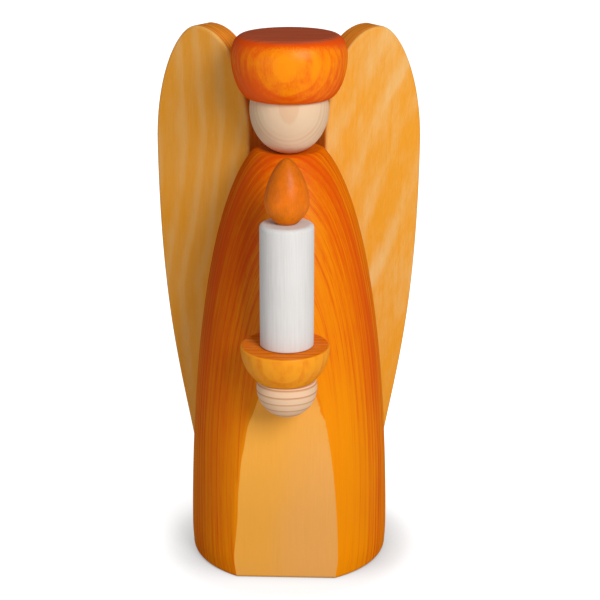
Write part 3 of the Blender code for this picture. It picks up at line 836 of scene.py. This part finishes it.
def make_wing(sizes, colours, side):
    """One wing board, rounded along its rims and swept back."""
    bm = bmesh.new()
    board = bm.faces.new([bm.verts.new(point) for point in wing_line()])
    grown = bmesh.ops.extrude_face_region(bm, geom=[board])["geom"]
    back = [item for item in grown if isinstance(item, bmesh.types.BMVert)]
    bmesh.ops.translate(bm, verts=back, vec=(0.0, sizes.wing_thickness, 0.0))
    bmesh.ops.recalc_face_normals(bm, faces=bm.faces[:])
    front_edge, rear_edge = sizes.wing_edge, sizes.wing_edge * REAR_RIM_SHARE
    for plane, offset in ((0.0, front_edge), (sizes.wing_thickness, rear_edge)):
        rim = [
            edge
            for edge in bm.edges
            if all(abs(vert.co.y - plane) < 1e-6 for vert in edge.verts)
        ]
        bmesh.ops.bevel(
            bm,
            geom=rim,
            offset=offset,
            segments=5,
            profile=0.5,
            affect="EDGES",
            material=-1,
            clamp_overlap=False,
        )
    broad = [face for face in bm.faces if len(face.verts) > 50]
    for face in broad:
        bmesh.ops.inset_region(bm, faces=[face], thickness=FACE_INSET, use_even_offset=True)
    edge_mark = bm.verts.layers.float.new("end_grain")
    for vert in bm.verts:
        inside = min(vert.co.y / front_edge, (sizes.wing_thickness - vert.co.y) / rear_edge)
        vert[edge_mark] = min(1.0, max(0.0, inside))
    smooth(bm)
    if side < 0:
        bmesh.ops.scale(bm, verts=bm.verts[:], vec=(-1.0, 1.0, 1.0))
        bmesh.ops.reverse_faces(bm, faces=bm.faces[:])
    bmesh.ops.rotate(bm, verts=bm.verts[:], matrix=Matrix.Rotation(side * sizes.wing_sweep, 3, "Z"))
    root = side * (sizes.hat_radius - WING_INSET) + sizes.wing_shift
    bmesh.ops.translate(bm, verts=bm.verts[:], vec=(root, WING_BEHIND, 0.0))
    bmesh.ops.recalc_face_normals(bm, faces=bm.faces[:])
    if side > 0:
        name, lean, spacing, bend, strength = "right_wing", radians(-12), 21.0, 0.0013, 1.0
    else:
        name, lean, spacing, bend, strength = "left_wing", radians(-5), 12.5, 0.0, 0.46
    turn = (0.0, lean, radians(-34) * side)
    glaze = wing_glaze(colours, name + "_glaze", turn, spacing, bend, 7.0 * side, strength)
    keep(bm, name + "_board", glaze, name)


def make_hand(sizes, colours):
    """The ball of the hand, sawn flat at its top and its back."""
    bm = bmesh.new()
    radius = sizes.hand_radius
    middle = Vector((0.0, CANDLE_Y, HAND_LOW.z + radius))
    place = Matrix.Translation(middle)
    bmesh.ops.create_uvsphere(bm, u_segments=96, v_segments=64, radius=radius, matrix=place)
    smooth(bm)
    saw(bm, (0.0, 0.0, HAND_HIGH.z), (0.0, 0.0, 1.0))
    saw(bm, (0.0, HAND_HIGH.y, 0.0), (0.0, 1.0, 0.0))
    keep(bm, "hand_ball", hand_wood(colours), "hand")


def make_cup(sizes, colours):
    """The half ball of the cup, sawn flat at the back to clear the body."""
    radius, foot = sizes.cup_radius, sizes.cup_foot
    low, high = CUP_LOW.z, CUP_HIGH.z
    middle = low + sqrt(radius ** 2 - foot ** 2)
    edge = high - middle
    top = flat((0.0, high), (radius - edge, high))
    rim = arc((radius - edge, middle), edge, pi / 2, 0.0)
    bowl = arc((0.0, middle), radius, 0.0, -asin((middle - low) / radius), CURVE_STEPS)
    bm = turned((top, rim, bowl, flat((foot, low), (0.0, low))), SMALL_TURN_STEPS)
    bmesh.ops.translate(bm, verts=bm.verts[:], vec=(sizes.cup_shift, CANDLE_Y, 0.0))
    saw(bm, (0.0, CUP_HIGH.y, 0.0), (0.0, 1.0, 0.0))
    smooth(bm)
    for face in bm.faces:
        if face.normal.y > 0.9999:
            face.smooth = False
    mark_slope(bm)
    keep(bm, "cup_bowl", cup_glaze(colours), "candle_cup")


def make_candle(sizes, colours):
    """The painted candle, rounded at its top."""
    radius, edge = sizes.candle_radius, sizes.candle_edge
    low, high = CANDLE_LOW.z, CANDLE_HIGH.z
    top = flat((0.0, high), (radius - edge, high))
    shoulder = arc((radius - edge, high - edge), edge, pi / 2, 0.0)
    side = flat((radius, high - edge), (radius, low + 0.0003))
    foot = arc((radius - 0.0003, low + 0.0003), 0.0003, 0.0, -pi / 2, 3)
    under = flat((radius - 0.0003, low), (0.0, low))
    bm = turned((top, shoulder, side, foot, under), SMALL_TURN_STEPS)
    bmesh.ops.translate(bm, verts=bm.verts[:], vec=(0.0, CANDLE_Y, 0.0))
    smooth(bm)
    keep(bm, "candle_stick", candle_paint(colours), "candle")


def make_flame(sizes, colours):
    """The flame, a turned egg."""
    foot = CANDLE_HIGH.z + FIT_GAP
    tip, wide, widest = FLAME_HIGH.z, sizes.flame_radius, foot + 0.0086
    upper = curve((0.0, tip), (0.0036, tip), (wide, widest + 0.0070), (wide, widest))
    lower = curve((wide, widest), (wide, widest - 0.0040), (0.0061, foot + 0.0015), (0.0042, foot))
    bm = turned((upper, lower, flat((0.0042, foot), (0.0, foot))), SMALL_TURN_STEPS)
    bmesh.ops.translate(bm, verts=bm.verts[:], vec=(0.0, CANDLE_Y, 0.0))
    smooth(bm)
    keep(bm, "flame_egg", flame_glaze(colours), "flame")


def dress_dowels(colours):
    """Give the hidden dowels of the frame their plain wood."""
    wood = dowel_wood(colours)
    for name in ("neck_dowel", "hand_dowel", "candle_dowel"):
        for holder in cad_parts[name].material_slots:
            holder.material = wood


# Stage


def make_floor():
    """A plain pale floor that looks white, keeps the figure's shadow and has a painted contact
    shade beside and behind the foot.
    """
    finish = Finish("floor_paper")
    away = finish.reach(finish.node("ShaderNodeTexCoord", output="Object"))
    values = {"Distance": SHADE_REACH}
    # Painted shade: nearness to the figure (ambient occlusion) darkens the floor's glow, at the
    # sides and back only.
    open_sky = finish.node("ShaderNodeAmbientOcclusion", {"samples": 8}, values, "AO")
    shade = (1.0 - open_sky) * finish.part("Y").between(-0.050, -0.020)
    near = NEAR_LEVEL - shade * SHADE_DEPTH
    far = away.between(NEAR_FLOOR, WHITE_FLOOR)
    level = finish.seen_ray() * (near * (1.0 - far) + far)
    glow = finish.node("ShaderNodeCombineColor", None, {0: level, 1: level, 2: level})
    finish.tree.links.new(glow.socket, finish.shader.inputs["Emission Color"])
    finish.shader.inputs["Emission Strength"].default_value = 1.0
    paper = finish.blend(NEAR_GREY, FAR_GREY, away.between(NEAR_FLOOR, FAR_FLOOR))
    finish.tree.links.new(paper.socket, finish.shader.inputs["Base Color"])
    finish.shader.inputs["Roughness"].default_value = 0.9
    finish.shader.inputs["Specular IOR Level"].default_value = 0.0
    bm = bmesh.new()
    bmesh.ops.create_grid(bm, x_segments=1, y_segments=1, size=FLOOR_SIZE)
    mesh = bpy.data.meshes.new("floor")
    bm.to_mesh(mesh)
    bm.free()
    mesh.materials.append(finish.material)
    floor = bpy.data.objects.new("floor", mesh)
    bpy.context.scene.collection.objects.link(floor)


def make_sky(strength):
    """Even light from all round, white where it is looked at."""
    world = bpy.data.worlds.new("studio")
    bpy.context.scene.world = world
    world.use_nodes = True
    nodes = Nodes(world.node_tree)
    lit, seen = (
        nodes.node("ShaderNodeBackground", None, {"Color": (1.0, 1.0, 1.0, 1.0), "Strength": level})
        for level in (strength, 1.0)
    )
    both = nodes.node("ShaderNodeMixShader", None, {0: nodes.seen_ray(), 1: lit, 2: seen})
    world.node_tree.links.new(both.socket, world.node_tree.nodes["World Output"].inputs["Surface"])


def hang_lamp(name, power, width, tall, azimuth, rise, away):
    """A soft box that faces the figure's middle."""
    lamp = bpy.data.lights.new(name, "AREA")
    lamp.shape = "RECTANGLE"
    lamp.size, lamp.size_y = width, tall
    lamp.energy = power
    holder = bpy.data.objects.new(name, lamp)
    bpy.context.scene.collection.objects.link(holder)
    toward = Vector((sin(azimuth) * cos(rise), -cos(azimuth) * cos(rise), sin(rise)))
    holder.location = Vector((0.0, 0.0, LAMP_AIM)) + toward * away
    holder.rotation_euler = toward.to_track_quat("Z", "Y").to_euler()


def set_camera():
    """The camera, at the height and distance of a close product photograph."""
    lens = bpy.data.cameras.new("camera")
    lens.sensor_width = VIEW_SENSOR
    lens.lens = VIEW_LENS
    lens.shift_x = VIEW_SHIFT
    lens.clip_start = 0.01
    camera = bpy.data.objects.new("camera", lens)
    bpy.context.scene.collection.objects.link(camera)
    across, back = VIEW_AWAY * sin(VIEW_TURN), VIEW_AWAY * cos(VIEW_TURN)
    camera.location = (across, -back, VIEW_HEIGHT)
    camera.rotation_euler = (VIEW_TILT, 0.0, VIEW_TURN)
    bpy.context.scene.camera = camera


# Operators


class ANGEL_OT_body(Operator):
    """Turn the body and saw its front face"""

    bl_idname = "angel.body"
    bl_label = "Body"

    def execute(self, context):
        make_body(context.scene.angel_figure, context.scene.angel_colours)
        return {"FINISHED"}


class ANGEL_OT_head(Operator):
    """Turn the head and the hat"""

    bl_idname = "angel.head"
    bl_label = "Head and hat"

    def execute(self, context):
        make_head(context.scene.angel_figure, context.scene.angel_colours)
        make_hat(context.scene.angel_figure, context.scene.angel_colours)
        return {"FINISHED"}


class ANGEL_OT_wings(Operator):
    """Saw both wings and stand them behind the body"""

    bl_idname = "angel.wings"
    bl_label = "Wings"

    def execute(self, context):
        for side in (-1, 1):
            make_wing(context.scene.angel_figure, context.scene.angel_colours, side)
        return {"FINISHED"}


class ANGEL_OT_hand(Operator):
    """Turn the hand and the cup that it holds"""

    bl_idname = "angel.hand"
    bl_label = "Hand and cup"

    def execute(self, context):
        make_hand(context.scene.angel_candle, context.scene.angel_colours)
        make_cup(context.scene.angel_candle, context.scene.angel_colours)
        return {"FINISHED"}


class ANGEL_OT_candle(Operator):
    """Turn the candle and its flame"""

    bl_idname = "angel.candle"
    bl_label = "Candle and flame"

    def execute(self, context):
        make_candle(context.scene.angel_candle, context.scene.angel_colours)
        make_flame(context.scene.angel_candle, context.scene.angel_colours)
        return {"FINISHED"}


class ANGEL_OT_dowels(Operator):
    """Give the hidden dowels their wood"""

    bl_idname = "angel.dowels"
    bl_label = "Dowels"

    def execute(self, context):
        dress_dowels(context.scene.angel_colours)
        return {"FINISHED"}


class ANGEL_OT_stage(Operator):
    """Lay the floor, hang the lamps and set the camera"""

    bl_idname = "angel.stage"
    bl_label = "Stage"

    def execute(self, context):
        light = context.scene.angel_light
        make_floor()
        make_sky(light.sky)
        hang_lamp("key_lamp", light.key, *KEY_BOX)
        hang_lamp("fill_lamp", light.fill, *FILL_BOX)
        set_camera()
        context.scene.view_settings.view_transform = "Standard"
        return {"FINISHED"}


OPERATORS = (
    ANGEL_OT_body,
    ANGEL_OT_head,
    ANGEL_OT_wings,
    ANGEL_OT_hand,
    ANGEL_OT_candle,
    ANGEL_OT_dowels,
    ANGEL_OT_stage,
)


class ANGEL_PT_sidebar(Panel):
    """Lists the figure's pieces, sizes and colours"""

    bl_label = "Angel candle holder"
    bl_idname = "ANGEL_PT_sidebar"
    bl_space_type = "VIEW_3D"
    bl_region_type = "UI"
    bl_category = "Angel"

    def draw(self, context):
        for operator in OPERATORS:
            self.layout.operator(operator.bl_idname)
        for group in GROUPS:
            box = self.layout.box()
            for name in GROUPS[group].__annotations__:
                box.prop(getattr(context.scene, group), name)


GROUPS = {
    "angel_figure": FigureSizes,
    "angel_candle": CandleSizes,
    "angel_colours": WoodColours,
    "angel_light": StudioLight,
}


def register():
    for group, settings in GROUPS.items():
        bpy.utils.register_class(settings)
        setattr(bpy.types.Scene, group, PointerProperty(type=settings))
    for item in (*OPERATORS, ANGEL_PT_sidebar):
        bpy.utils.register_class(item)


def unregister():
    for item in reversed((*OPERATORS, ANGEL_PT_sidebar)):
        bpy.utils.unregister_class(item)
    for group, settings in reversed(GROUPS.items()):
        delattr(bpy.types.Scene, group)
        bpy.utils.unregister_class(settings)


def main():
    """Build every piece and the stage."""
    register()
    bpy.ops.angel.body()
    bpy.ops.angel.head()
    bpy.ops.angel.wings()
    bpy.ops.angel.hand()
    bpy.ops.angel.candle()
    bpy.ops.angel.dowels()
    bpy.ops.angel.stage()


if __name__ == "__main__":
    main()
